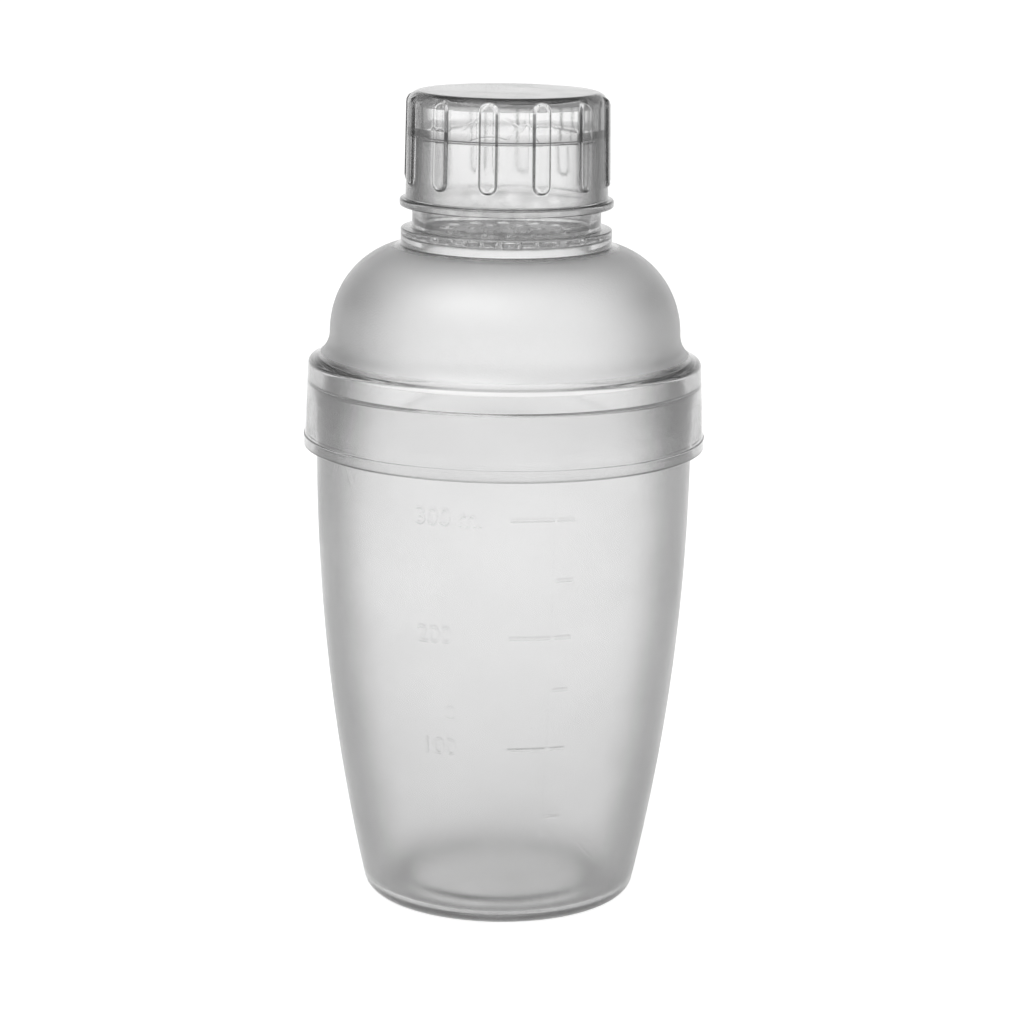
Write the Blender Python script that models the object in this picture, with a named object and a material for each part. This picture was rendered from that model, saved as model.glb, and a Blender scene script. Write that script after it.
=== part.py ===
"""Three-piece plastic shaker: a tapered cup, a domed strainer lid and a ribbed push-on cap.

The origin is the centre of the cup's foot, +Z runs up the common axis, and -Y points to the side that
carries the graduation. Dimensions are in millimetres and are scaled to metres on entry.
"""

import math

import bmesh
import bpy
from mathutils import Matrix, Vector

MM = 0.001
GAP = 0.3  # clearance between pieces that rest on or slide over each other

# Cup
CUP_WALL = 2.0
CUP_RIM_Z = 110.6
CUP_TOP_RADIUS = 39.5
CUP_BULGE_RADIUS = 433.0  # radius of the long arc that the wall follows
CUP_UPRIGHT_Z = 96.8  # height where that arc turns upright
FOOT_FILLET = 3.4
FLOOR_Z = 2.0
FLOOR_FILLET = 2.4
PUNT_RISE = 1.9  # how far the middle of the floor is pushed up
PUNT_RADIUS = 19.0
PUNT_SLOPE = 1.5  # width of the sloping edge of the punt
RIM_ROUND = 0.6

# Graduation on the cup: heights of the marks by millilitres, and azimuths in degrees from -Y to +X
MARK_HEIGHTS = {50: 25.0, 100: 40.4, 150: 53.3, 200: 64.6, 250: 76.7, 300: 89.4}
NUMERALS = {100: "100", 200: "200", 300: "300 ml"}
SCALE_LINE_AZIMUTH = 15.9
SCALE_LINE_Z = (21.0, 93.0)
MARK_WIDTH = 0.6
SHORT_TICK = (15.9, 21.8)
LONG_TICK = (2.5, 21.8)
NUMERAL_AZIMUTH = -26.5
NUMERAL_SIZE = 5.2
NUMERAL_CURVE_STEPS = 2  # divisions of each curve of a figure
LINE_RELIEF = 0.25
TICK_RELIEF = 0.3
NUMERAL_RELIEF = 0.3
MARK_BURY = 0.8  # how deep the marks reach into the wall, so that they fuse with it
MARK_COLUMN = 6.0  # widest part of a tick that stays straight, in degrees

# Strainer lid
LID_WALL = 2.0
SKIRT_FOOT_Z = 97.5
SKIRT_FOOT_RADIUS = 42.3
SKIRT_TOP_RADIUS = 41.3
BEAD_HEIGHT = 2.4
BEAD_RELIEF = 0.25
DOME_RADIUS = 36.8
DOME_FOOT_Z = 121.4
DOME_CENTRE_RADIUS = 19.5
DOME_RISE = 18.6
FLARE_RADIUS = 6.0  # hollow curve from the dome's foot out to the skirt
SHOULDER_RADIUS = 1.0
STOP_BORE = 38.0  # the thicker wall over the cup's rim, whose underside rests on it
RING_RADIUS = 22.1
RING_TOP_Z = 143.3
NECK_RADIUS = 19.76
NECK_TOP_Z = 162.5
STRAINER_TOP_Z = 142.5
STRAINER_THICKNESS = 1.2
HOLE_RADIUS = 1.8
HOLE_RINGS = ((1, 0.0), (6, 6.2), (12, 12.4))  # holes in each ring, and the ring's radius
HOLE_TURN = 3.0  # degrees; keeps the holes' corners off the seams of the turned plate
HOLE_SIDES = 12

# Cap
CAP_TOP_Z = 171.7
CAP_FOOT_Z = 147.9
CAP_FLANGE_RADIUS = 22.35
CAP_FLANGE_HEIGHT = 1.6
CAP_FOOT_RADIUS = 21.15
CAP_TOP_RADIUS = 20.8
CAP_EDGE_ROUND = 2.6
CAP_ROOF = 1.8
CAP_BORE = NECK_RADIUS + GAP
CAP_BORE_DRAFT = 0.1
CAP_SHOULDER_RISE = 1.6  # height of the sloping shoulder above the ledge that sits on the neck
CAP_UPPER_BORE = 18.8
CAP_ROOF_FILLET = 1.2
RIB_COUNT = 12
RIB_AZIMUTH = -10.5  # degrees from -Y towards +X, of the rib nearest the front
RIB_RELIEF = 0.55
RIB_HALF_WIDTH = 2.1
RIB_SPAN = (152.2, 171.2)

SEGMENTS = 60
CAP_SEGMENTS = 120
CUP_ROW = 14.0  # height of one row of faces on the cup's wall
CUP_ROWS = 6
SHARP_ANGLE = 30.0
WELD = 1e-7  # metres


def clear_scene():
    for thing in list(bpy.data.objects):
        bpy.data.objects.remove(thing)


def plastic(name, colour, roughness, opacity):
    material = bpy.data.materials.new(name)
    material.use_nodes = True
    shader = material.node_tree.nodes["Principled BSDF"]
    shader.inputs["Base Color"].default_value = (*colour, 1.0)
    shader.inputs["Roughness"].default_value = roughness
    shader.inputs["Metallic"].default_value = 0.0
    shader.inputs["Alpha"].default_value = opacity
    return material


def arc(centre_r, centre_z, radius, start, end, steps):
    """Points of (radius, height) round an arc, with angles in degrees from +R towards +Z."""
    turns = [math.radians(start + (end - start) * i / steps) for i in range(steps + 1)]
    return [(centre_r + radius * math.cos(t), centre_z + radius * math.sin(t)) for t in turns]


def link_mesh(name, bm, material=None):
    mesh = bpy.data.meshes.new(name)
    bm.to_mesh(mesh)
    bm.free()
    thing = bpy.data.objects.new(name, mesh)
    bpy.context.scene.collection.objects.link(thing)
    if material:
        mesh.materials.append(material)
        mesh.shade_smooth()
        mesh.set_sharp_from_angle(angle=math.radians(SHARP_ANGLE))
    return thing


def turned(outline, segments, start_azimuth=0.0):
    """A bmesh of the outline of (radius, height) points in millimetres, spun once round Z."""
    bm = bmesh.new()
    turn = Matrix.Rotation(math.radians(start_azimuth), 4, "Z")
    points = [turn @ Vector((0.0, -r * MM, z * MM)) for r, z in outline]
    verts = [bm.verts.new(point) for point in points]
    edges = [bm.edges.new(pair) for pair in zip(verts, verts[1:])]
    bmesh.ops.spin(
        bm,
        geom=verts + edges,
        cent=(0, 0, 0),
        axis=(0, 0, 1),
        angle=math.tau,
        steps=segments,
        use_duplicate=False,
    )
    bmesh.ops.remove_doubles(bm, verts=bm.verts, dist=WELD)
    bmesh.ops.recalc_face_normals(bm, faces=bm.faces)
    return bm


def combine(target, helper, operation):
    """Fuses helper with target, or cuts it away, and keeps helper itself out of the model."""
    helper.hide_render = True
    helper.display_type = "WIRE"
    modifier = target.modifiers.new(helper.name, "BOOLEAN")
    modifier.operation = operation
    modifier.solver = "EXACT"
    modifier.object = helper


def cup_wall_radius(z, inset=0.0):
    """Radius of the cup's wall at height z, or of the surface that lies inset inside it."""
    centre = CUP_TOP_RADIUS - CUP_BULGE_RADIUS
    below = max(0.0, CUP_UPRIGHT_Z - z)
    return centre + math.sqrt((CUP_BULGE_RADIUS - inset) ** 2 - below**2)


def cup_corner(floor_z, fillet, inset, steps):
    """The fillet from a flat floor into the wall arc, tangent to both, from the floor outwards."""
    centre = CUP_TOP_RADIUS - CUP_BULGE_RADIUS
    centre_z = floor_z + fillet
    drop = CUP_UPRIGHT_Z - centre_z
    reach = CUP_BULGE_RADIUS - inset - fillet
    centre_r = centre + math.sqrt(reach**2 - drop**2)
    meets = -math.degrees(math.asin(drop / reach))
    return arc(centre_r, centre_z, fillet, -90, meets, steps)


def cup_outline():
    outer_corner = cup_corner(0.0, FOOT_FILLET, 0.0, 5)
    inner_corner = cup_corner(FLOOR_Z, FLOOR_FILLET, CUP_WALL, 4)
    outer_heights = [outer_corner[-1][1] + CUP_ROW * i for i in range(1, CUP_ROWS + 1)]
    inner_heights = [inner_corner[-1][1] + CUP_ROW * i for i in range(1, CUP_ROWS + 1)]
    outside = [(0.0, PUNT_RISE), (PUNT_RADIUS, PUNT_RISE), (PUNT_RADIUS + PUNT_SLOPE, 0.0)]
    outside += outer_corner
    outside += [(cup_wall_radius(z), z) for z in outer_heights]
    rim_outer = CUP_TOP_RADIUS - RIM_ROUND
    rim_inner = CUP_TOP_RADIUS - CUP_WALL + RIM_ROUND
    outside += arc(rim_outer, CUP_RIM_Z - RIM_ROUND, RIM_ROUND, 0, 90, 3)
    inside = [(0.0, FLOOR_Z + PUNT_RISE)]
    inside += [(PUNT_RADIUS + PUNT_SLOPE, FLOOR_Z + PUNT_RISE)]
    inside += [(PUNT_RADIUS + 2 * PUNT_SLOPE, FLOOR_Z)]
    inside += inner_corner
    inside += [(cup_wall_radius(z, CUP_WALL), z) for z in inner_heights]
    inside += arc(rim_inner, CUP_RIM_Z - RIM_ROUND, RIM_ROUND, 180, 90, 3)
    return outside + inside[::-1]


def on_wall(azimuth, z, out):
    """The point this far out from the cup's wall at this azimuth in degrees and this height."""
    radius = cup_wall_radius(z) + out
    turn = math.radians(azimuth)
    return Vector((radius * math.sin(turn), -radius * math.cos(turn), z)) * MM


def raised_bar(bm, azimuths, heights, columns, rows, relief):
    """A bar that follows the wall between two azimuths and two heights."""
    grid = bmesh.ops.create_grid(bm, x_segments=columns, y_segments=rows, size=0.5)
    for vert in grid["verts"]:
        azimuth = azimuths[0] + (vert.co.x + 0.5) * (azimuths[1] - azimuths[0])
        z = heights[0] + (vert.co.y + 0.5) * (heights[1] - heights[0])
        vert.co = on_wall(azimuth, z, relief)
    faces = list({face for vert in grid["verts"] for face in vert.link_faces})
    bmesh.ops.recalc_face_normals(bm, faces=faces)
    copied = bmesh.ops.extrude_face_region(bm, geom=faces)["geom"]
    for vert in copied:
        if isinstance(vert, bmesh.types.BMVert):
            inward = Vector((vert.co.x, vert.co.y, 0.0)).normalized()
            vert.co -= inward * (relief + MARK_BURY) * MM


def make_scale_line():
    bm = bmesh.new()
    half = math.degrees(MARK_WIDTH / 2 / CUP_TOP_RADIUS)
    azimuths = (SCALE_LINE_AZIMUTH - half, SCALE_LINE_AZIMUTH + half)
    raised_bar(bm, azimuths, SCALE_LINE_Z, 1, 6, LINE_RELIEF)
    bmesh.ops.recalc_face_normals(bm, faces=bm.faces)
    return link_mesh("scale_line", bm)


def make_ticks():
    """One raised tick for each mark: long beside a numeral, and short between them."""
    bm = bmesh.new()
    for millilitres, z in MARK_HEIGHTS.items():
        azimuths = LONG_TICK if millilitres in NUMERALS else SHORT_TICK
        columns = math.ceil((azimuths[1] - azimuths[0]) / MARK_COLUMN)
        heights = (z - MARK_WIDTH / 2, z + MARK_WIDTH / 2)
        raised_bar(bm, azimuths, heights, columns, 1, TICK_RELIEF)
    bmesh.ops.recalc_face_normals(bm, faces=bm.faces)
    return link_mesh("ticks", bm)


def make_numeral(millilitres, z):
    """The mark's numeral as raised figures wrapped round the wall."""
    name = f"numeral_{millilitres}"
    text = bpy.data.curves.new(name, "FONT")
    text.body = NUMERALS[millilitres]
    text.size = NUMERAL_SIZE
    text.align_y = "CENTER"
    text.resolution_u = NUMERAL_CURVE_STEPS
    text.extrude = (NUMERAL_RELIEF + MARK_BURY) / 2
    flat = bpy.data.objects.new(name, text)
    bpy.context.scene.collection.objects.link(flat)
    bpy.context.view_layer.update()
    bm = bmesh.new()
    bm.from_mesh(flat.to_mesh())
    flat.to_mesh_clear()
    bpy.data.objects.remove(flat)
    for vert in bm.verts:
        azimuth = NUMERAL_AZIMUTH + math.degrees(vert.co.x / cup_wall_radius(z))
        out = vert.co.z + (NUMERAL_RELIEF - MARK_BURY) / 2
        vert.co = on_wall(azimuth, z + vert.co.y, out)
    bmesh.ops.remove_doubles(bm, verts=bm.verts, dist=WELD)
    bmesh.ops.recalc_face_normals(bm, faces=bm.faces)
    return link_mesh(name, bm)


def make_cup(material):
    bm = turned(cup_outline(), SEGMENTS)
    cup = link_mesh("cup", bm, material)
    combine(cup, make_scale_line(), "UNION")
    combine(cup, make_ticks(), "UNION")
    for millilitres in NUMERALS:
        combine(cup, make_numeral(millilitres, MARK_HEIGHTS[millilitres]), "UNION")
    return cup


def lid_flare():
    """The S curve from the skirt's upright top edge in to the dome's upright foot, upwards."""
    flare_r = DOME_RADIUS + FLARE_RADIUS
    corner_r = SKIRT_TOP_RADIUS - SHOULDER_RADIUS
    reach = FLARE_RADIUS + SHOULDER_RADIUS
    lean = math.acos((flare_r - corner_r) / reach)
    corner_z = DOME_FOOT_Z - reach * math.sin(lean)
    corner = arc(corner_r, corner_z, SHOULDER_RADIUS, 0, math.degrees(lean), 2)
    flare = arc(flare_r, DOME_FOOT_Z, FLARE_RADIUS, 180 + math.degrees(lean), 180, 6)
    return corner + flare[1:]


def inner_flare(steps):
    """The flare's inner side, one wall's thickness inside it, down to the bore over the cup's rim."""
    centre_r = DOME_RADIUS + FLARE_RADIUS
    radius = FLARE_RADIUS + LID_WALL
    end = 180 + math.degrees(math.acos((centre_r - STOP_BORE) / radius))
    return arc(centre_r, DOME_FOOT_Z, radius, 180, end, steps)[1:]


def dome(inset, top_radius, steps):
    """The dome's quarter ellipse, or the one that lies inset inside it, up to top_radius."""
    width = DOME_RADIUS - DOME_CENTRE_RADIUS - inset
    rise = DOME_RISE - inset
    end = math.acos((top_radius - DOME_CENTRE_RADIUS) / width)
    turns = [end * i / steps for i in range(steps + 1)]
    return [
        (DOME_CENTRE_RADIUS + width * math.cos(t), DOME_FOOT_Z + rise * math.sin(t))
        for t in turns
    ]


def lid_outline():
    bead_top = SKIRT_FOOT_Z + BEAD_HEIGHT
    skirt_bore = CUP_TOP_RADIUS + GAP
    channel_z = CUP_RIM_Z + GAP
    neck_bore = NECK_RADIUS - LID_WALL
    strainer_z = STRAINER_TOP_Z - STRAINER_THICKNESS
    neck_round = LID_WALL / 4
    skirt = [
        (SKIRT_FOOT_RADIUS, SKIRT_FOOT_Z),
        (SKIRT_FOOT_RADIUS, bead_top - BEAD_RELIEF),
        (SKIRT_FOOT_RADIUS - BEAD_RELIEF, bead_top),
    ]
    neck_rim = arc(NECK_RADIUS - neck_round, NECK_TOP_Z - neck_round, neck_round, 0, 90, 2)
    neck = [
        (RING_RADIUS, RING_TOP_Z),
        (NECK_RADIUS, RING_TOP_Z),
        *neck_rim,
        (neck_bore, NECK_TOP_Z),
        (neck_bore, STRAINER_TOP_Z),
        (0.0, STRAINER_TOP_Z),
    ]
    underside = [
        (0.0, strainer_z),
        (neck_bore, strainer_z),
        (neck_bore, DOME_FOOT_Z + DOME_RISE - LID_WALL),
        *dome(LID_WALL, DOME_CENTRE_RADIUS, 8)[::-1],
        *inner_flare(4),
        (STOP_BORE, channel_z),
        (skirt_bore, channel_z),
        (skirt_bore + BEAD_RELIEF * 2, SKIRT_FOOT_Z),
    ]
    outside = skirt + lid_flare() + dome(0.0, RING_RADIUS, 9)[1:] + neck
    return underside + outside


def make_strainer_holes():
    bm = bmesh.new()
    middle = (STRAINER_TOP_Z - STRAINER_THICKNESS / 2) * MM
    for count, ring in HOLE_RINGS:
        for i in range(count):
            turn = Matrix.Rotation(math.radians(HOLE_TURN) + math.tau * i / count, 4, "Z")
            place = turn @ Matrix.Translation(Vector((ring * MM, 0.0, middle)))
            bmesh.ops.create_cone(
                bm,
                cap_ends=True,
                segments=HOLE_SIDES,
                radius1=HOLE_RADIUS * MM,
                radius2=HOLE_RADIUS * MM,
                depth=2 * STRAINER_THICKNESS * MM,
                matrix=place,
            )
    return link_mesh("strainer_hole_cutter", bm)


def make_lid(material):
    bm = turned(lid_outline(), SEGMENTS)
    lid = link_mesh("strainer_lid", bm, material)
    combine(lid, make_strainer_holes(), "DIFFERENCE")
    return lid


def cap_outline():
    ledge_z = NECK_TOP_Z + GAP
    ledge_radius = (CAP_BORE + CAP_UPPER_BORE) / 2
    roof_z = CAP_TOP_Z - CAP_ROOF
    flange_top = CAP_FOOT_Z + CAP_FLANGE_HEIGHT
    edge_z = CAP_TOP_Z - CAP_EDGE_ROUND
    low, high = RIB_SPAN
    rib_ends = [low, low + RIB_HALF_WIDTH / 3, low + RIB_HALF_WIDTH]
    wall_heights = [*rib_ends, (low + high) / 2]
    slope = (CAP_TOP_RADIUS - CAP_FOOT_RADIUS) / (edge_z - flange_top)
    wall = [(CAP_FOOT_RADIUS + slope * (z - flange_top), z) for z in wall_heights]
    fillet_r = CAP_UPPER_BORE - CAP_ROOF_FILLET
    fillet_z = roof_z - CAP_ROOF_FILLET
    return [
        (0.0, roof_z),
        *arc(fillet_r, fillet_z, CAP_ROOF_FILLET, 90, 0, 3),
        (CAP_UPPER_BORE, ledge_z + CAP_SHOULDER_RISE),
        (ledge_radius, ledge_z),
        (CAP_BORE, ledge_z),
        (CAP_BORE + CAP_BORE_DRAFT, CAP_FOOT_Z),
        (CAP_FLANGE_RADIUS, CAP_FOOT_Z),
        (CAP_FLANGE_RADIUS, flange_top),
        (CAP_FOOT_RADIUS, flange_top),
        *wall,
        *arc(CAP_TOP_RADIUS - CAP_EDGE_ROUND, edge_z, CAP_EDGE_ROUND, 0, 90, 5),
        (0.0, CAP_TOP_Z),
    ]


def on_outer_wall(radius, z):
    """Whether a point of the cap is on its outer wall or rounded edge, and not on its bore."""
    if z > CAP_TOP_Z - CAP_EDGE_ROUND:
        return radius > CAP_UPPER_BORE
    return radius > (CAP_BORE + CAP_TOP_RADIUS) / 2


def rib_relief(azimuth, z):
    """How far a rib stands out at this azimuth in degrees and this height, with rounded ends."""
    pitch = 360.0 / RIB_COUNT
    off = (azimuth - RIB_AZIMUTH + pitch / 2) % pitch - pitch / 2
    across = math.radians(off) * CAP_FOOT_RADIUS
    low, high = RIB_SPAN
    beyond = max(low + RIB_HALF_WIDTH - z, z - (high - RIB_HALF_WIDTH), 0.0)
    share = math.hypot(across, beyond) / RIB_HALF_WIDTH
    return RIB_RELIEF * math.sqrt(max(0.0, 1.0 - share**2))


def make_cap(material):
    bm = turned(cap_outline(), CAP_SEGMENTS, RIB_AZIMUTH)
    for vert in bm.verts:
        radius = math.hypot(vert.co.x, vert.co.y) / MM
        height = vert.co.z / MM
        if on_outer_wall(radius, height):
            azimuth = math.degrees(math.atan2(vert.co.x, -vert.co.y))
            out = Vector((vert.co.x, vert.co.y, 0.0)).normalized()
            vert.co += out * rib_relief(azimuth, height) * MM
    return link_mesh("cap", bm, material)


def main():
    clear_scene()
    make_cup(plastic("cup_plastic", (0.86, 0.87, 0.88), 0.45, 0.55))
    make_lid(plastic("lid_plastic", (0.88, 0.89, 0.90), 0.35, 0.5))
    make_cap(plastic("cap_plastic", (0.93, 0.94, 0.95), 0.08, 0.35))


main()
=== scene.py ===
import math

import bmesh
import bpy
import numpy as np
from mathutils import Euler, Matrix, Vector


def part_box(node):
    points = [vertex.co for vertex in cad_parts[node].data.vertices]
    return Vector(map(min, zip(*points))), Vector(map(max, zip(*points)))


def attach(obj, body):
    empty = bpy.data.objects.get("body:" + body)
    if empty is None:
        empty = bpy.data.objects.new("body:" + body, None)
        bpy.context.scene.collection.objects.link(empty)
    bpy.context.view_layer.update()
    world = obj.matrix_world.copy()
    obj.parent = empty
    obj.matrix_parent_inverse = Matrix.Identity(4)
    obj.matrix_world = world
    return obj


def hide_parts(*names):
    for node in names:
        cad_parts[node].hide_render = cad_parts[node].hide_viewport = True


# Fine surfaces and finishes of a three-piece plastic shaker: cup, strainer lid and push-on cap.
# Sizes are in millimetres, in the row frame: origin at the foot, +Z up, -Y the side with the scale.

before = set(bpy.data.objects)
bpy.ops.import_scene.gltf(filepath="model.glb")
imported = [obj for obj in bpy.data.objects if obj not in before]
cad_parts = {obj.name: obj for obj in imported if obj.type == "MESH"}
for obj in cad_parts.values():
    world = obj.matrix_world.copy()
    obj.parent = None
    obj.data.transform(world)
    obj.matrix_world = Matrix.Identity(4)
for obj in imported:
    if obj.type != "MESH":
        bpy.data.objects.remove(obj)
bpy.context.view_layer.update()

MM = 0.001
CUP_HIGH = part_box("cup")[1] / MM
LID_LOW, LID_HIGH = (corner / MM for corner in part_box("strainer_lid"))
CAP_LOW, CAP_HIGH = (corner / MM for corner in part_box("cap"))
GAP = 0.3  # clearance between the pieces

# Cup
CUP_WALL = 2.0
CUP_RIM_Z = CUP_HIGH.z
CUP_TOP_RADIUS = CUP_HIGH.x
CUP_BULGE_RADIUS = 433.0  # radius of the long arc that the wall follows
CUP_UPRIGHT_Z = 96.8  # height where that arc turns upright
FOOT_FILLET = 3.4
FLOOR_Z = 2.0
FLOOR_FILLET = 2.4
PUNT_RISE = 1.9
PUNT_RADIUS = 19.0
PUNT_SLOPE = 1.5
RIM_ROUND = 0.6

# Measuring marks: heights by millilitres, and azimuths in degrees from -Y to +X
MARK_HEIGHTS = {50: 25.0, 100: 40.4, 150: 53.3, 200: 64.6, 250: 76.7, 300: 89.4}
NUMERALS = {100: "100", 200: "200", 300: "300 ml"}
SCALE_LINE_AZIMUTH = 15.9
SCALE_LINE_Z = (21.0, 93.0)
MARK_WIDTH = 0.6
SHORT_TICK = (15.9, 21.8)
LONG_TICK = (2.5, 21.8)
NUMERAL_AZIMUTH = -26.5
NUMERAL_END_AZIMUTH = -2.0
NUMERAL_SIZE = 5.2
MARK_RELIEF = 0.2
MARK_SOFTNESS = 0.18
MOULD_DOT = (-16.0, 48.2, 1.3)  # azimuth, height and radius of the small round ejector mark

# Strainer lid
LID_WALL = 2.0
SKIRT_FOOT_Z = LID_LOW.z
SKIRT_FOOT_RADIUS = LID_HIGH.x
SKIRT_TOP_RADIUS = 41.3
BEAD_HEIGHT = 2.4
BEAD_RELIEF = 0.25
DOME_RADIUS = 36.8
DOME_FOOT_Z = 121.4
DOME_CENTRE_RADIUS = 19.5
DOME_RISE = 18.6
FLARE_RADIUS = 6.0
SHOULDER_RADIUS = 1.0
STOP_BORE = 38.0
RING_RADIUS = 22.1
RING_TOP_Z = 143.3
NECK_RADIUS = 19.76
NECK_TOP_Z = LID_HIGH.z
STRAINER_TOP_Z = 142.5
STRAINER_THICKNESS = 1.2
HOLE_RADIUS = 1.8
HOLE_FLARE = 0.25
HOLE_RINGS = ((1, 0.0), (6, 6.2), (12, 12.4))
HOLE_TURN = 3.0

# Cap
CAP_TOP_Z = CAP_HIGH.z
CAP_FOOT_Z = CAP_LOW.z
CAP_FLANGE_RADIUS = CAP_HIGH.x
CAP_FLANGE_HEIGHT = 1.6
CAP_FOOT_RADIUS = 21.15
CAP_TOP_RADIUS = 20.8
CAP_EDGE_ROUND = 2.6
CAP_ROOF = 1.8
CAP_BORE = NECK_RADIUS + GAP
CAP_BORE_DRAFT = 0.1
CAP_SHOULDER_RISE = 1.6
CAP_UPPER_BORE = 18.8
CAP_ROOF_FILLET = 1.2
RIB_COUNT = 12
RIB_AZIMUTH = -10.5
RIB_RELIEF = 0.54
RIB_HALF_WIDTH = 2.1
RIB_FLANK = 0.75  # width of a rib's steep edge
RIB_SPAN = (152.2, 171.2)

SHARP_ANGLE = 40.0  # degrees between faces that keep a hard edge

# Plastics. Tints are the share of light let through, face on; their darkening at grazing angles and
# in the places named below is painted shade. A pair of heights is where a look fades out or in, in
# metres, as the shaders read them.
PLASTIC_IOR = 1.55
ABSORPTION_GREY = (0.8, 0.8, 0.8, 1.0)
GRAIN_SCALE = 2500.0
GRAIN_DISTANCE = 0.0001
SCRATCH_WARP_SCALE, SCRATCH_WARP = 25.0, 0.02
SCRATCH_TURN = (0.3, 0.5, 0.7)
SCRATCH_STRETCH = (1.0, 1.0, 0.3)
SCRATCH_CELLS = 90.0
SCRATCH_WIDTH = (0.004, 0.012)
SCRATCH_PATCH_SCALE, SCRATCH_PATCHES = 40.0, (0.52, 0.62)
LEVEL_TILT = (0.4, 0.85)  # how far a normal points up or down before a surface counts as level

CAP_DENSITY = 100.0
CAP_SMUDGE_SCALE, CAP_SMUDGES = 90.0, (0.35, 0.75)
CAP_ROUGHNESS = (0.07, 0.15)
CAP_TINT_AND_EDGE_SHADE = (0.97, 0.08, 0.36, 0.58)  # centre, edge, and the grazing angles between them; the darker edge is painted shade
CAP_SCRATCH_RELIEF = 0.15
# Painted shade: a dark line along each rib's steep flanks.
RIB_EDGE_SHADE = 0.08
RIB_EDGE_SLOPE = (0.82, 0.985)
RIB_EDGE_FOOT = (0.1515, 0.152)
RIB_EDGE_TOP = (0.1685, 0.1695)

LID_DENSITY = 60.0
FROST_FOOT = (0.1165, 0.1175)
FROST_TOP = (0.1392, 0.1398)
CLEAR_ROUGHNESS, FROSTED_ROUGHNESS = 0.06, 0.31
FROSTED_BUMP = 0.5
# Lid tints: the share of light let through face on, and painted shade at grazing angles.
CLEAR_TINT_AND_EDGE_SHADE = (0.96, 0.22, 0.15, 0.65)
FROSTED_TINT_AND_EDGE_SHADE = (1.0, 0.4, 0.1, 0.75)
# Painted shade over the neck's root and the strainer plate, broken up by noise.
NECK_ROOT_RADIUS = (0.0198, 0.0202)
NECK_ROOT_FOOT = (0.1405, 0.141)
NECK_ROOT_TOP = (0.1485, 0.1495)
NECK_ROOT_SHADE = (0.62, 0.9)
NECK_SHADE_MOTTLE_SCALE, NECK_SHADE_MOTTLE = 350.0, (0.35, 0.65)
SKIRT_WEAR = (0.0963, 0.0975)
SKIRT_WEAR_SCALE, SKIRT_WEAR_PATCHES, SKIRT_WEAR_SHARE = 500.0, (0.45, 0.65), 0.8
SKIRT_WEAR_TINT = 0.6

CUP_DENSITY = 150.0
CUP_MOTTLE_SCALE, CUP_MOTTLE = 60.0, (0.3, 0.7)
CUP_ROUGHNESS = (0.19, 0.25)
CUP_BUMP = 0.12
CUP_SCRATCH_DEPTH = 1.5  # in grains
CUP_TINT_HEIGHTS = (0.015, 0.075)
CUP_TINTS_WITH_LOW_SHADE = (0.78, 0.86)  # face on, at those heights; the darker value low down is painted shade
# Painted shade on the cup's walls at grazing angles: the edge tint and the angles where it fades
# in.
CUP_EDGE_SHADE = (0.12, 0.28, 0.82)
# Scuffs on the foot, and painted contact shadow along its bottom edge.
FOOT_WEAR = (0.0003, 0.0012)
FOOT_WEAR_SCALE, FOOT_WEAR_PATCHES = 700.0, (0.3, 0.6)
FOOT_WEAR_SHARE = (0.55, 1.0)
FOOT_WEAR_AND_CONTACT_SHADE = 0.4
# Painted shade in the foot's corner, round the punt.
CORNER_RADIUS = (0.0185, 0.02)
CORNER_TOP = (0.004, 0.0052)
CORNER_FOOT = (0.0014, 0.0019)
CORNER_SHARE = 0.75
FOOT_CORNER_SHADE = 0.6

# Studio
FLOOR_RADIUS = 0.6
FLOOR_GLOW = 0.9
FLOOR_DROP = 0.0002  # below the foot, so that the two do not touch
SKY_EDGE = (0.08, 0.4)  # rise over the horizon where the white room turns grey
SKY_LIGHT = 0.3
HORIZON_LIGHT = 1.12
KEY_PLACE, KEY_AIM = (-0.4, -0.5, 1.1), (0.0, 0.1, 0.0)
KEY_SIZE, KEY_POWER = (0.9, 0.7), 3.5
CAMERA_PITCH = 12.4
CAMERA_ROLL = 0.775
CAMERA_LENS = 113.8
CAMERA_DISTANCE = 688.5
CAMERA_TARGET = (1.957, 0.0, 82.5)


def arc(centre_r, centre_z, radius, start, end, steps):
    """Points of (radius, height) round an arc, with angles in degrees from +R towards +Z."""
    turns = np.radians(np.linspace(start, end, steps + 1))
    return [(centre_r + radius * math.cos(t), centre_z + radius * math.sin(t)) for t in turns]


def filleted(corners, steps=5):
    """The outline through corners of (radius, height, fillet), with each corner rounded."""
    outline = []
    for i, corner in enumerate(corners):
        here = np.array(corner[:2])
        fillet = corner[2] if len(corner) > 2 else 0.0
        if fillet == 0.0:
            outline.append(tuple(here))
            continue
        back = np.array(corners[i - 1][:2]) - here
        on = np.array(corners[i + 1][:2]) - here
        back /= np.linalg.norm(back)
        on /= np.linalg.norm(on)
        half = math.acos(max(-1.0, min(1.0, float(back @ on)))) / 2
        middle = (back + on) / np.linalg.norm(back + on)
        centre = here + middle * fillet / math.sin(half)
        first = here + back * fillet / math.tan(half) - centre
        last = here + on * fillet / math.tan(half) - centre
        sweep = math.pi - 2 * half
        for share in np.linspace(0.0, 1.0, steps + 1):
            mix = math.sin((1 - share) * sweep) * first + math.sin(share * sweep) * last
            outline.append(tuple(centre + mix / math.sin(sweep)))
    return outline


def refined(outline, longest):
    """The outline with its long straight runs divided, so that no edge is longer than this."""
    points = [outline[0]]
    for start, end in zip(outline, outline[1:]):
        pieces = max(1, math.ceil(math.dist(start, end) / longest))
        for i in range(1, pieces + 1):
            points.append(tuple(np.array(start) + (np.array(end) - np.array(start)) * i / pieces))
    return points


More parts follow.
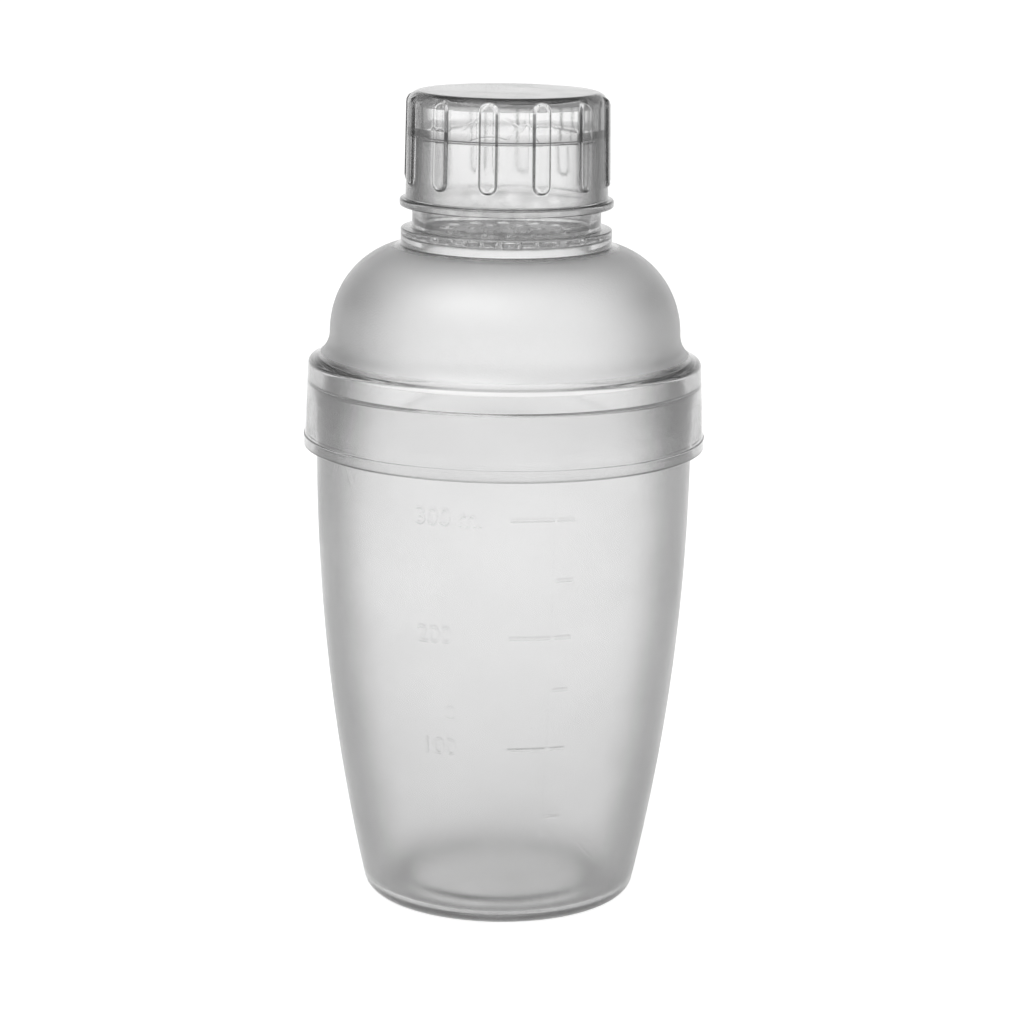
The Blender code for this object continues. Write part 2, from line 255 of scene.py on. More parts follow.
def spun(name, outline, azimuths, relief=None):
    """A mesh of the outline spun round Z from one point on the axis to another.

    relief(azimuths, radius, z) gives how far each point of a row is pushed out, in millimetres.
    """
    turns = np.radians(azimuths)
    columns = len(turns)
    points = [(0.0, 0.0, outline[0][1])]
    for radius, z in outline[1:-1]:
        out = radius + (relief(azimuths, radius, z) if relief else 0.0)
        rows = np.stack([out * np.sin(turns), -out * np.cos(turns), np.full(columns, z)], axis=1)
        points.extend(map(tuple, rows))
    points.append((0.0, 0.0, outline[-1][1]))
    last = len(points) - 1
    faces = []
    for i in range(columns):
        j = (i + 1) % columns
        faces.append((0, 1 + j, 1 + i))
        for row in range(len(outline) - 3):
            base = 1 + row * columns
            faces.append((base + i, base + j, base + columns + j, base + columns + i))
        base = 1 + (len(outline) - 3) * columns
        faces.append((base + i, base + j, last))
    mesh = bpy.data.meshes.new(name)
    mesh.from_pydata([tuple(c * MM for c in point) for point in points], [], faces)
    mesh.validate()
    return mesh


def add_piece(name, mesh, material, body, node):
    """Puts a mesh in the scene as the piece that stands for a CAD node."""
    bm = bmesh.new()
    bm.from_mesh(mesh)
    bmesh.ops.recalc_face_normals(bm, faces=bm.faces)
    bm.to_mesh(mesh)
    bm.free()
    mesh.shade_smooth()
    mesh.set_sharp_from_angle(angle=math.radians(SHARP_ANGLE))
    mesh.materials.append(material)
    piece = bpy.data.objects.new(name, mesh)
    bpy.context.scene.collection.objects.link(piece)
    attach(piece, body)
    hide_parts(node)
    return piece


# Cup


def cup_wall_radius(z, inset=0.0):
    """Radius of the cup's wall at a height, or of a surface set into it by this much."""
    centre = CUP_TOP_RADIUS - CUP_BULGE_RADIUS
    below = max(0.0, CUP_UPRIGHT_Z - z)
    return centre + math.sqrt((CUP_BULGE_RADIUS - inset) ** 2 - below**2)


def cup_corner(floor_z, fillet, inset, steps):
    """The round corner between a floor at this height and the cup's wall."""
    centre = CUP_TOP_RADIUS - CUP_BULGE_RADIUS
    centre_z = floor_z + fillet
    drop = CUP_UPRIGHT_Z - centre_z
    reach = CUP_BULGE_RADIUS - inset - fillet
    centre_r = centre + math.sqrt(reach**2 - drop**2)
    meets = -math.degrees(math.asin(drop / reach))
    return arc(centre_r, centre_z, fillet, -90, meets, steps)


def wall_heights(bottom, top):
    """Heights of the cup's rows: wide apart on the plain wall, and close where it is marked."""
    coarse, fine, numeral_half, tick_half = 2.5, 0.17, 2.3, 0.6
    heights = list(np.linspace(bottom, top, int((top - bottom) / coarse) + 1)[1:])
    bands = [(z, numeral_half if ml in NUMERALS else tick_half) for ml, z in MARK_HEIGHTS.items()]
    bands.append((MOULD_DOT[1], MOULD_DOT[2] + 2 * MARK_SOFTNESS))
    for end in SCALE_LINE_Z:
        bands.append((end, tick_half))
    for middle, half in bands:
        heights = [z for z in heights if abs(z - middle) > half + fine]
        heights += list(np.arange(middle - half, middle + half + fine / 2, fine))
    return sorted(heights)


def mark_azimuths():
    """Azimuths of the cup's columns, in degrees, close together across the marks."""
    coarse, medium, fine = 3.0, 1.0, 0.25
    edges = [NUMERAL_AZIMUTH - 1.0, NUMERAL_END_AZIMUTH]
    azimuths = list(np.arange(edges[0], edges[1], fine))
    edge = 1.0
    for middle, half in ((LONG_TICK[0], edge), (SCALE_LINE_AZIMUTH, edge), (LONG_TICK[1], edge)):
        azimuths += list(np.arange(azimuths[-1] + medium, middle - half, medium))
        azimuths += list(np.arange(middle - half, middle + half + fine / 2, fine))
    around = 360.0 + azimuths[0]
    steps = math.ceil((around - azimuths[-1]) / coarse)
    azimuths += list(np.linspace(azimuths[-1], around, steps + 1)[1:-1])
    return np.array(azimuths)


def text_segments(body):
    """The closed outlines of a line of text, as segments of ((x, y), (x, y)) from its left end."""
    text = bpy.data.curves.new(body, "FONT")
    text.body = body
    text.size = NUMERAL_SIZE
    text.align_y = "CENTER"
    text.fill_mode = "NONE"
    flat = bpy.data.objects.new(body, text)
    bpy.context.scene.collection.objects.link(flat)
    bpy.context.view_layer.update()
    mesh = flat.to_mesh()
    segments = [[mesh.vertices[v].co.xy.to_tuple() for v in edge.vertices] for edge in mesh.edges]
    flat.to_mesh_clear()
    bpy.data.objects.remove(flat)
    bpy.data.curves.remove(text)
    return np.array(segments)


def depth_inside(points, segments):
    """How far each point lies inside the closed outlines; less than nothing outside them."""
    start, end = segments[:, 0], segments[:, 1]
    along = end - start
    offset = points[:, None, :] - start[None]
    share = np.clip((offset * along).sum(2) / np.maximum((along**2).sum(1), 1e-12), 0.0, 1.0)
    distance = np.linalg.norm(offset - share[..., None] * along, axis=2).min(1)
    x, y = points[:, 0][:, None], points[:, 1][:, None]
    spans = (start[:, 1] > y) != (end[:, 1] > y)
    rise = np.where(along[:, 1] == 0.0, 1.0, along[:, 1])
    crossing = start[:, 0] + (y - start[:, 1]) / rise * along[:, 0]
    inside = (spans & (x < crossing)).sum(1) % 2 == 1
    return np.where(inside, distance, -distance)


def soft_step(depth):
    """0 well outside a raised mark, 1 well inside it, and a smooth flank between."""
    t = np.clip(depth / MARK_SOFTNESS / 2 + 0.5, 0.0, 1.0)
    return t * t * (3 - 2 * t)


def bar_depth(azimuths, z, radius, azimuth_span, z_span):
    """How far each point lies inside a straight bar; less than nothing outside it."""
    across = np.minimum(azimuths - azimuth_span[0], azimuth_span[1] - azimuths)
    upright = min(z - z_span[0], z_span[1] - z)
    return np.minimum(np.radians(across) * radius, upright)


def make_mark_relief():
    """A function that gives the relief of the measuring marks along one row of the cup."""
    outlines = {ml: text_segments(body) for ml, body in NUMERALS.items()}

    def relief(azimuths, radius, z):
        turned = (azimuths + 180.0) % 360.0 - 180.0
        half = MARK_WIDTH / 2
        half_turn = math.degrees(half / radius)
        line = (SCALE_LINE_AZIMUTH - half_turn, SCALE_LINE_AZIMUTH + half_turn)
        depth = bar_depth(turned, z, radius, line, SCALE_LINE_Z)
        for ml, middle in MARK_HEIGHTS.items():
            span = LONG_TICK if ml in NUMERALS else SHORT_TICK
            tick = bar_depth(turned, z, radius, span, (middle - half, middle + half))
            depth = np.maximum(depth, tick)
            if ml in NUMERALS and abs(z - middle) < NUMERAL_SIZE / 2:
                x = np.radians(turned - NUMERAL_AZIMUTH) * radius
                points = np.stack([x, np.full(len(x), z - middle)], axis=1)
                depth = np.maximum(depth, depth_inside(points, outlines[ml]))
        dot_azimuth, dot_z, dot_radius = MOULD_DOT
        aside = np.radians(turned - dot_azimuth) * radius
        depth = np.maximum(depth, dot_radius - np.hypot(aside, z - dot_z))
        return MARK_RELIEF * soft_step(depth)

    return relief


def make_cup(material):
    outer_corner = cup_corner(0.0, FOOT_FILLET, 0.0, 10)
    inner_corner = cup_corner(FLOOR_Z, FLOOR_FILLET, CUP_WALL, 8)
    rim_outer = CUP_TOP_RADIUS - RIM_ROUND
    rim_inner = CUP_TOP_RADIUS - CUP_WALL + RIM_ROUND
    rim_z = CUP_RIM_Z - RIM_ROUND
    under = [
        (0.0, PUNT_RISE),
        (PUNT_RADIUS, PUNT_RISE, 0.8),
        (PUNT_RADIUS + PUNT_SLOPE, 0.0, 0.4),
        outer_corner[0],
    ]
    floor = [
        (0.0, FLOOR_Z + PUNT_RISE),
        (PUNT_RADIUS + PUNT_SLOPE, FLOOR_Z + PUNT_RISE, 0.8),
        (PUNT_RADIUS + 2 * PUNT_SLOPE, FLOOR_Z, 0.8),
        inner_corner[0],
    ]
    outside = filleted(under)[:-1] + outer_corner
    outside += [(cup_wall_radius(z), z) for z in wall_heights(outer_corner[-1][1], rim_z)][:-1]
    outside += arc(rim_outer, rim_z, RIM_ROUND, 0, 90, 6)
    inside = filleted(floor)[:-1] + inner_corner
    heights = np.linspace(inner_corner[-1][1], rim_z, 36)[1:-1]
    inside += [(cup_wall_radius(z, CUP_WALL), z) for z in heights]
    inside += arc(rim_inner, rim_z, RIM_ROUND, 180, 90, 6)
    marks = make_mark_relief()

    def relief(azimuths, radius, z):
        on_outside = radius > cup_wall_radius(z, CUP_WALL / 2) and z > FOOT_FILLET
        return marks(azimuths, radius, z) if on_outside else 0.0

    mesh = spun("cup_shell", refined(outside + inside[::-1], 6.0), mark_azimuths(), relief)
    return add_piece("cup_shell", mesh, material, "cup", "cup")


# Strainer lid


def lid_flare():
    """The lid's outline from the top of the skirt, round the shoulder and up to the dome's foot."""
    flare_r = DOME_RADIUS + FLARE_RADIUS
    corner_r = SKIRT_TOP_RADIUS - SHOULDER_RADIUS
    reach = FLARE_RADIUS + SHOULDER_RADIUS
    lean = math.acos((flare_r - corner_r) / reach)
    corner_z = DOME_FOOT_Z - reach * math.sin(lean)
    corner = arc(corner_r, corner_z, SHOULDER_RADIUS, 0, math.degrees(lean), 6)
    flare = arc(flare_r, DOME_FOOT_Z, FLARE_RADIUS, 180 + math.degrees(lean), 180, 14)
    return corner + flare[1:]


def inner_flare(steps):
    """The inside of the flare, from the dome's foot down to the stop over the cup's rim."""
    centre_r = DOME_RADIUS + FLARE_RADIUS
    radius = FLARE_RADIUS + LID_WALL
    end = 180 + math.degrees(math.acos((centre_r - STOP_BORE) / radius))
    return arc(centre_r, DOME_FOOT_Z, radius, 180, end, steps)[1:]


def dome(inset, top_radius, steps):
    """The dome's elliptical outline from its foot up to this radius."""
    width = DOME_RADIUS - DOME_CENTRE_RADIUS - inset
    rise = DOME_RISE - inset
    turns = np.linspace(0.0, math.acos((top_radius - DOME_CENTRE_RADIUS) / width), steps + 1)
    return [
        (DOME_CENTRE_RADIUS + width * math.cos(t), DOME_FOOT_Z + rise * math.sin(t))
        for t in turns
    ]


def lid_outline():
    bead_top = SKIRT_FOOT_Z + BEAD_HEIGHT
    skirt_bore = CUP_TOP_RADIUS + GAP
    channel_z = CUP_RIM_Z + GAP
    neck_bore = NECK_RADIUS - LID_WALL
    strainer_z = STRAINER_TOP_Z - STRAINER_THICKNESS
    return filleted(
        [
            (0.0, strainer_z),
            (neck_bore, strainer_z, 0.5),
            (neck_bore, DOME_FOOT_Z + DOME_RISE - LID_WALL, 0.8),
            *dome(LID_WALL, DOME_CENTRE_RADIUS, 30)[::-1],
            *inner_flare(14)[:-1],
            (*inner_flare(14)[-1], 0.4),
            (STOP_BORE, channel_z, 0.3),
            (skirt_bore, channel_z, 0.3),
            (skirt_bore + BEAD_RELIEF * 2, SKIRT_FOOT_Z, 0.3),
            (SKIRT_FOOT_RADIUS, SKIRT_FOOT_Z, 0.3),
            (SKIRT_FOOT_RADIUS, bead_top, 0.2),
            (SKIRT_FOOT_RADIUS - BEAD_RELIEF, bead_top + BEAD_RELIEF / 2, 0.1),
            *lid_flare(),
            *dome(0.0, RING_RADIUS, 34)[1:-1],
            (*dome(0.0, RING_RADIUS, 34)[-1], 0.3),
            (RING_RADIUS, RING_TOP_Z, 0.35),
            (NECK_RADIUS, RING_TOP_Z, 0.4),
            (NECK_RADIUS, NECK_TOP_Z, 0.5),
            (neck_bore, NECK_TOP_Z, 0.5),
            (neck_bore, STRAINER_TOP_Z, 0.5),
            (0.0, STRAINER_TOP_Z),
        ]
    )


def hole_cutter():
    """One object with a flared pin for each of the strainer's holes."""
    top = STRAINER_TOP_Z
    low = top - STRAINER_THICKNESS
    wide = HOLE_RADIUS + HOLE_FLARE
    outline = [
        (0.0, low - 1.0),
        (wide, low - 1.0),
        (wide, low),
        (HOLE_RADIUS, low + 2 * HOLE_FLARE),
        (HOLE_RADIUS, top - 2 * HOLE_FLARE),
        (wide, top),
        (wide, top + 0.3),
        (0.0, top + 0.3),
    ]
    pin = spun("pin", outline, np.linspace(0.0, 360.0, 33)[:-1])
    bm = bmesh.new()
    for count, ring in HOLE_RINGS:
        for i in range(count):
            turn = Matrix.Rotation(math.radians(HOLE_TURN) + math.tau * i / count, 4, "Z")
            place = turn @ Matrix.Translation(Vector((ring * MM, 0.0, 0.0)))
            copy = pin.copy()
            copy.transform(place)
            bm.from_mesh(copy)
            bpy.data.meshes.remove(copy)
    bmesh.ops.recalc_face_normals(bm, faces=bm.faces)
    mesh = bpy.data.meshes.new("hole_cutter")
    bm.to_mesh(mesh)
    bm.free()
    cutter = bpy.data.objects.new("hole_cutter", mesh)
    bpy.context.scene.collection.objects.link(cutter)
    return cutter


def cut(mesh, cutter):
    """The mesh with the cutter taken away from it by an exact Boolean."""
    work = bpy.data.objects.new("work", mesh)
    bpy.context.scene.collection.objects.link(work)
    modifier = work.modifiers.new("holes", "BOOLEAN")
    modifier.operation = "DIFFERENCE"
    modifier.solver = "EXACT"
    modifier.object = cutter
    bpy.context.view_layer.update()
    seen = work.evaluated_get(bpy.context.evaluated_depsgraph_get())
    result = bpy.data.meshes.new_from_object(seen)
    bpy.data.objects.remove(work)
    bpy.data.objects.remove(cutter)
    return result


def make_lid(material):
    azimuths = np.linspace(0.0, 360.0, 241)[:-1]
    mesh = spun("lid", refined(lid_outline(), 4.0), azimuths)
    mesh = cut(mesh, hole_cutter())
    mesh.name = "strainer_lid_moulding"
    return add_piece(mesh.name, mesh, material, "lid", "strainer_lid")


# Cap


def cap_outline():
    ledge_z = NECK_TOP_Z + GAP
    ledge_radius = (CAP_BORE + CAP_UPPER_BORE) / 2
    roof_z = CAP_TOP_Z - CAP_ROOF
    flange_top = CAP_FOOT_Z + CAP_FLANGE_HEIGHT
    edge_z = CAP_TOP_Z - CAP_EDGE_ROUND
    slope = (CAP_TOP_RADIUS - CAP_FOOT_RADIUS) / (edge_z - flange_top)
    rib_foot = np.arange(RIB_SPAN[0] - 0.4, RIB_SPAN[0] + RIB_HALF_WIDTH, 0.14)
    heights = [*rib_foot, *np.arange(rib_foot[-1] + 1.0, edge_z - 0.5, 1.5)]
    wall = [(CAP_FOOT_RADIUS + slope * (z - flange_top), z) for z in heights]
    return filleted(
        [
            (0.0, roof_z),
            (CAP_UPPER_BORE, roof_z, CAP_ROOF_FILLET),
            (CAP_UPPER_BORE, ledge_z + CAP_SHOULDER_RISE, 0.4),
            (ledge_radius, ledge_z, 0.2),
            (CAP_BORE, ledge_z, 0.2),
            (CAP_BORE + CAP_BORE_DRAFT, CAP_FOOT_Z, 0.3),
            (CAP_FLANGE_RADIUS, CAP_FOOT_Z, 0.45),
            (CAP_FLANGE_RADIUS, flange_top, 0.45),
            (CAP_FOOT_RADIUS, flange_top, 0.4),
            *wall,
            *arc(CAP_TOP_RADIUS - CAP_EDGE_ROUND, edge_z, CAP_EDGE_ROUND, 0, 90, 16),
            (0.0, CAP_TOP_Z),
        ]
    )


def cap_azimuths():
    """Azimuths in degrees, close together at both flanks of every rib."""
    half = math.degrees(RIB_HALF_WIDTH / CAP_FOOT_RADIUS)
    top = math.degrees((RIB_HALF_WIDTH - RIB_FLANK) / CAP_FOOT_RADIUS)
    left_flank = np.linspace(-half, -top, 7)
    across = np.concatenate([left_flank, np.linspace(-top, top, 5)[1:-1], -left_flank[::-1]])
    pitch = 360.0 / RIB_COUNT
    between = np.linspace(half, pitch - half, 10)[1:-1]
    one = np.concatenate([across, between])
    return np.concatenate([RIB_AZIMUTH + pitch * i + one for i in range(RIB_COUNT)])


def rib_relief(azimuths, radius, z):
    on_wall = radius > (CAP_BORE + CAP_TOP_RADIUS) / 2
    on_edge = z > CAP_TOP_Z - CAP_EDGE_ROUND and radius > CAP_UPPER_BORE
    if not (on_wall or on_edge) or z < RIB_SPAN[0]:
        return 0.0
    pitch = 360.0 / RIB_COUNT
    off = (azimuths - RIB_AZIMUTH + pitch / 2) % pitch - pitch / 2
    across = np.radians(off) * CAP_FOOT_RADIUS
    low, high = RIB_SPAN
    beyond = max(low + RIB_HALF_WIDTH - z, z - (high - RIB_HALF_WIDTH), 0.0)
    flank = np.clip((RIB_HALF_WIDTH - np.hypot(across, beyond)) / RIB_FLANK, 0.0, 1.0)
    return RIB_RELIEF * flank * flank * (3 - 2 * flank)


def make_cap(material):
    mesh = spun("cap_moulding", refined(cap_outline(), 3.0), cap_azimuths(), rib_relief)
    return add_piece("cap_moulding", mesh, material, "cap", "cap")


# Materials


class Nodes:
    """A short way to add linked nodes to a material."""

    def __init__(self, name=None):
        if name:
            self.material = bpy.data.materials.new(name)
            self.material.use_nodes = True
            self.tree = self.material.node_tree
            self.shader = self.tree.nodes["Principled BSDF"]
            self.output = self.tree.nodes["Material Output"]

    @classmethod
    def of(cls, tree):
        nodes = cls()
        nodes.tree = tree
        return nodes

    def add(self, kind, inputs=None, **settings):
        node = self.tree.nodes.new("ShaderNode" + kind)
        for key, value in settings.items():
            setattr(node, key, value)
        for key, value in (inputs or {}).items():
            if isinstance(value, bpy.types.NodeSocket):
                self.tree.links.new(value, node.inputs[key])
            else:
                node.inputs[key].default_value = value
        return node

    def math(self, operation, a, b=0.0):
        return self.add("Math", {0: a, 1: b}, operation=operation).outputs[0]

    def ramp(self, value, low, high, to_low, to_high):
        """value taken from low..high to to_low..to_high, and held outside it."""
        settings = {"Value": value, "From Min": low, "From Max": high}
        settings.update({"To Min": to_low, "To Max": to_high})
        return self.add("MapRange", settings, interpolation_type="SMOOTHSTEP").outputs["Result"]

    def shade(self, centre, edge, start, end, walls_only=False):
        """A tint for plastic, darker at grazing angles: painted shade that stands in for dark
        surroundings.

        walls_only leaves level surfaces, whose normals point up or down, without a tint.
        """
        facing = self.add("LayerWeight", {"Blend": 0.5}).outputs["Facing"]
        tint_and_shade = self.ramp(facing, start, end, centre, edge)
        if not walls_only:
            return tint_and_shade
        normal = self.add("TexCoord").outputs["Normal"]
        tilt = self.math("ABSOLUTE", self.add("SeparateXYZ", {0: normal}).outputs["Z"])
        return self.mix(self.ramp(tilt, *LEVEL_TILT, 0.0, 1.0), tint_and_shade, 1.0)

    def mix(self, share, a, b):
        return self.add("Mix", {0: share, 2: a, 3: b}).outputs[0]

    def band(self, value, low, high):
        """1 between two fades, and 0 below the first and above the second."""
        rise = self.ramp(value, *low, 0.0, 1.0)
        return self.math("MULTIPLY", rise, self.ramp(value, *high, 1.0, 0.0))

    def noise(self, coordinates, scale, detail=3.0, roughness=0.55):
        inputs = {"Vector": coordinates, "Scale": scale, "Detail": detail, "Roughness": roughness}
        return self.add("TexNoise", inputs).outputs["Fac"]

    def flat(self, place):
        settings = {0: place, 1: (1.0, 1.0, 0.0)}
        return self.add("VectorMath", settings, operation="MULTIPLY").outputs[0]

    def radius(self, place):
        return self.add("VectorMath", {0: self.flat(place)}, operation="LENGTH").outputs["Value"]

    def scratches(self, place):
        """Sparse hairlines, as the narrow cell borders of a stretched and distorted pattern."""
        waves = {"Vector": place, "Scale": SCRATCH_WARP_SCALE, "Detail": 2.0}
        warp = self.add("TexNoise", waves).outputs["Color"]
        bent = self.add("Mix", {0: SCRATCH_WARP, 6: place, 7: warp}, data_type="RGBA").outputs[2]
        turned = self.add("Mapping", {"Vector": bent, "Rotation": SCRATCH_TURN})
        turned.inputs["Scale"].default_value = SCRATCH_STRETCH
        cells = {"Vector": turned.outputs[0], "Scale": SCRATCH_CELLS}
        border = self.add("TexVoronoi", cells, feature="DISTANCE_TO_EDGE").outputs["Distance"]
        line = self.ramp(border, *SCRATCH_WIDTH, 1.0, 0.0)
        patches = self.ramp(self.noise(place, SCRATCH_PATCH_SCALE), *SCRATCH_PATCHES, 0.0, 1.0)
        return self.math("MULTIPLY", line, patches)

    def set(self, **values):
        for key, value in values.items():
            socket = self.shader.inputs[key.replace("_", " ")]
            if isinstance(value, bpy.types.NodeSocket):
                self.tree.links.new(value, socket)
            else:
                socket.default_value = value

    def finish_plastic(self, tint_and_shade, roughness, bump, density):
        """Sets what all three plastics share, and gives the finished material."""
        self.set(Base_Color=tint_and_shade, Roughness=roughness, IOR=PLASTIC_IOR, Transmission_Weight=1.0)
        self.set(Normal=bump.outputs["Normal"])
        inside = {"Color": ABSORPTION_GREY, "Density": density}
        volume = self.add("VolumeAbsorption", inside)
        self.tree.links.new(volume.outputs[0], self.output.inputs["Volume"])
        return self.material


def cap_material():
    """Clear glossy plastic: hairlines, smudges, painted shade at grazing angles, and a painted
    shade line along each rib's steep edge.
    """
    nodes = Nodes("cap_plastic")
    place = nodes.add("TexCoord").outputs["Object"]
    height = nodes.add("SeparateXYZ", {0: place}).outputs["Z"]
    outward = {0: nodes.flat(place)}
    outward = nodes.add("VectorMath", outward, operation="NORMALIZE").outputs[0]
    normal = nodes.add("TexCoord").outputs["Normal"]
    both = {0: normal, 1: outward}
    along = nodes.add("VectorMath", both, operation="DOT_PRODUCT").outputs["Value"]
    # Painted shade: a dark line where the rib flanks turn sideways.
    steep_flank = nodes.ramp(nodes.math("ABSOLUTE", along), *RIB_EDGE_SLOPE, 1.0, 0.0)
    edge = nodes.math("MULTIPLY", steep_flank, nodes.band(height, RIB_EDGE_FOOT, RIB_EDGE_TOP))
    tint_and_shade = nodes.mix(edge, nodes.shade(*CAP_TINT_AND_EDGE_SHADE), RIB_EDGE_SHADE)
    roughness = nodes.ramp(nodes.noise(place, CAP_SMUDGE_SCALE), *CAP_SMUDGES, *CAP_ROUGHNESS)
    relief = {"Height": nodes.scratches(place), "Strength": CAP_SCRATCH_RELIEF}
    bump = nodes.add("Bump", {**relief, "Distance": GRAIN_DISTANCE})
    return nodes.finish_plastic(tint_and_shade, roughness, bump, CAP_DENSITY)


def lid_material():
    """Clear neck and skirt, a frosted dome between them, scuffs along the skirt's foot, painted
    shade at grazing angles, and mottled painted shade over the neck's root and the strainer plate.
    """
    nodes = Nodes("lid_plastic")
    place = nodes.add("TexCoord").outputs["Object"]
    height = nodes.add("SeparateXYZ", {0: place}).outputs["Z"]
    frosted = nodes.band(height, FROST_FOOT, FROST_TOP)
    grain = nodes.noise(place, GRAIN_SCALE, 2.0)
    roughness = nodes.ramp(frosted, 0.0, 1.0, CLEAR_ROUGHNESS, FROSTED_ROUGHNESS)
    strength = nodes.math("MULTIPLY", frosted, FROSTED_BUMP)
    relief = {"Height": grain, "Strength": strength, "Distance": GRAIN_DISTANCE}
    bump = nodes.add("Bump", relief)
    # Painted shade at grazing angles, on the dome's walls and over all the clear parts.
    frosted_edge_shade = nodes.shade(*FROSTED_TINT_AND_EDGE_SHADE, walls_only=True)
    tint_and_shade = nodes.mix(frosted, nodes.shade(*CLEAR_TINT_AND_EDGE_SHADE), frosted_edge_shade)
    # Painted shade over the neck's root and strainer plate, mottled by noise.
    inside = nodes.ramp(nodes.radius(place), *NECK_ROOT_RADIUS, 1.0, 0.0)
    neck_root_shade_mask = nodes.math("MULTIPLY", nodes.band(height, NECK_ROOT_FOOT, NECK_ROOT_TOP), inside)
    mottled_shade = nodes.ramp(nodes.noise(place, NECK_SHADE_MOTTLE_SCALE), *NECK_SHADE_MOTTLE, *NECK_ROOT_SHADE)
    tint_and_shade = nodes.mix(neck_root_shade_mask, tint_and_shade, nodes.math("MULTIPLY", tint_and_shade, mottled_shade))
    patches = nodes.noise(place, SKIRT_WEAR_SCALE)
    patches = nodes.ramp(patches, *SKIRT_WEAR_PATCHES, 0.0, SKIRT_WEAR_SHARE)
    scuffs = nodes.math("MULTIPLY", nodes.ramp(height, *SKIRT_WEAR, 1.0, 0.0), patches)
    tint_and_shade = nodes.mix(scuffs, tint_and_shade, SKIRT_WEAR_TINT)
    return nodes.finish_plastic(tint_and_shade, roughness, bump, LID_DENSITY)


def cup_material():
    """Evenly frosted plastic, with hairlines, painted shade at grazing angles, lower down and in
    the foot's corner, and a foot scuffed by standing on tables and darkened by painted contact
    shadow along its bottom edge.
    """
    nodes = Nodes("cup_plastic")
    place = nodes.add("TexCoord").outputs["Object"]
    height = nodes.add("SeparateXYZ", {0: place}).outputs["Z"]
    # Scuffs and painted contact shadow along the foot's bottom edge.
    scuffs = nodes.ramp(nodes.noise(place, FOOT_WEAR_SCALE), *FOOT_WEAR_PATCHES, *FOOT_WEAR_SHARE)
    worn_and_contact_shaded = nodes.math("MULTIPLY", nodes.ramp(height, *FOOT_WEAR, 1.0, 0.0), scuffs)
    grooves = nodes.math("MULTIPLY", nodes.scratches(place), CUP_SCRATCH_DEPTH)
    relief = nodes.math("SUBTRACT", nodes.noise(place, GRAIN_SCALE, 2.0), grooves)
    relief = {"Height": relief, "Strength": CUP_BUMP, "Distance": GRAIN_DISTANCE}
    bump = nodes.add("Bump", relief)
    roughness = nodes.ramp(nodes.noise(place, CUP_MOTTLE_SCALE), *CUP_MOTTLE, *CUP_ROUGHNESS)
    # Painted shade: the cup's tint darker lower down.
    centre = nodes.ramp(height, *CUP_TINT_HEIGHTS, *CUP_TINTS_WITH_LOW_SHADE)
    # Painted shade at grazing angles on the cup's walls.
    tint_with_edge_shade = nodes.shade(centre, *CUP_EDGE_SHADE, walls_only=True)
    # Painted shade in the foot's corner round the punt.
    outer = nodes.ramp(nodes.radius(place), *CORNER_RADIUS, 0.0, 1.0)
    corner = nodes.math("MULTIPLY", outer, nodes.ramp(height, *CORNER_TOP, 1.0, 0.0))
    lifted = nodes.ramp(height, *CORNER_FOOT, 0.0, CORNER_SHARE)
    corner = nodes.math("MULTIPLY", corner, lifted)
    tint_and_shade = nodes.mix(corner, nodes.mix(worn_and_contact_shaded, tint_with_edge_shade, FOOT_WEAR_AND_CONTACT_SHADE), FOOT_CORNER_SHADE)
    return nodes.finish_plastic(tint_and_shade, roughness, bump, CUP_DENSITY)


# Studio


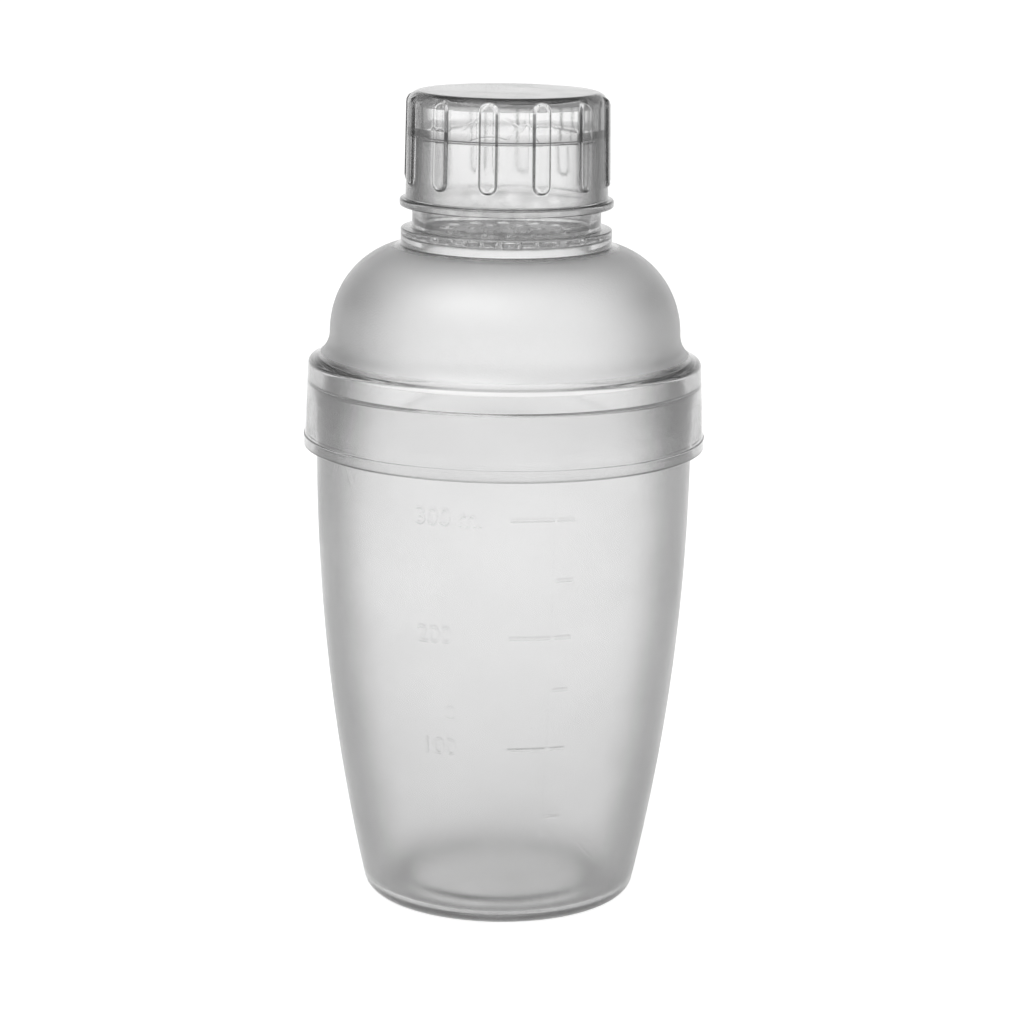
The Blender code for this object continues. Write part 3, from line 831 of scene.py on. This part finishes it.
def make_floor():
    mesh = bpy.data.meshes.new("floor")
    bm = bmesh.new()
    bmesh.ops.create_circle(bm, cap_ends=True, segments=96, radius=FLOOR_RADIUS)
    bm.to_mesh(mesh)
    bm.free()
    nodes = Nodes("floor_white")
    nodes.set(Base_Color=(0.8, 0.8, 0.8, 1.0), Roughness=0.9)
    nodes.set(Emission_Color=(1.0, 1.0, 1.0, 1.0), Emission_Strength=FLOOR_GLOW)
    mesh.materials.append(nodes.material)
    floor = bpy.data.objects.new("floor", mesh)
    floor.location.z = -FLOOR_DROP
    bpy.context.scene.collection.objects.link(floor)


def area_light(name, place, aim, size, power):
    light = bpy.data.lights.new(name, "AREA")
    light.shape = "RECTANGLE"
    light.size, light.size_y = size
    light.energy = power
    lamp = bpy.data.objects.new(name, light)
    lamp.location = place
    lamp.rotation_euler = (Vector(aim) - Vector(place)).to_track_quat("-Z", "Y").to_euler()
    bpy.context.scene.collection.objects.link(lamp)


def make_world():
    """A room that is white up to a little over the horizon, and grey overhead."""
    world = bpy.data.worlds.new("studio")
    world.use_nodes = True
    bpy.context.scene.world = world
    nodes = Nodes.of(world.node_tree)
    background = world.node_tree.nodes["Background"]
    place = nodes.add("TexCoord").outputs["Generated"]
    height = nodes.add("SeparateXYZ", {0: place}).outputs["Z"]
    strength = nodes.ramp(height, *SKY_EDGE, HORIZON_LIGHT, SKY_LIGHT)
    world.node_tree.links.new(strength, background.inputs["Strength"])
    background.inputs["Color"].default_value = (1.0, 1.0, 1.0, 1.0)


def make_camera():
    camera = bpy.data.cameras.new("camera")
    camera.lens = CAMERA_LENS
    camera.sensor_width = 36.0
    camera.clip_end = 50.0
    pitch = math.radians(CAMERA_PITCH)
    back = Vector((0.0, -math.cos(pitch), math.sin(pitch)))
    view = bpy.data.objects.new("camera", camera)
    view.location = (Vector(CAMERA_TARGET) + back * CAMERA_DISTANCE) * MM
    tilt = Euler((math.radians(90.0 - CAMERA_PITCH), 0.0, 0.0)).to_matrix()
    roll = Matrix.Rotation(math.radians(CAMERA_ROLL), 3, "Z")
    view.rotation_euler = (tilt @ roll).to_euler()
    bpy.context.scene.collection.objects.link(view)
    bpy.context.scene.camera = view


def set_light_paths():
    scene = bpy.context.scene
    scene.view_settings.view_transform = "Standard"
    scene.cycles.max_bounces = 32
    scene.cycles.transmission_bounces = 32
    scene.cycles.glossy_bounces = 12


make_cup(cup_material())
make_lid(lid_material())
make_cap(cap_material())
make_floor()
make_world()
area_light("key", KEY_PLACE, KEY_AIM, KEY_SIZE, KEY_POWER)
make_camera()
set_light_paths()
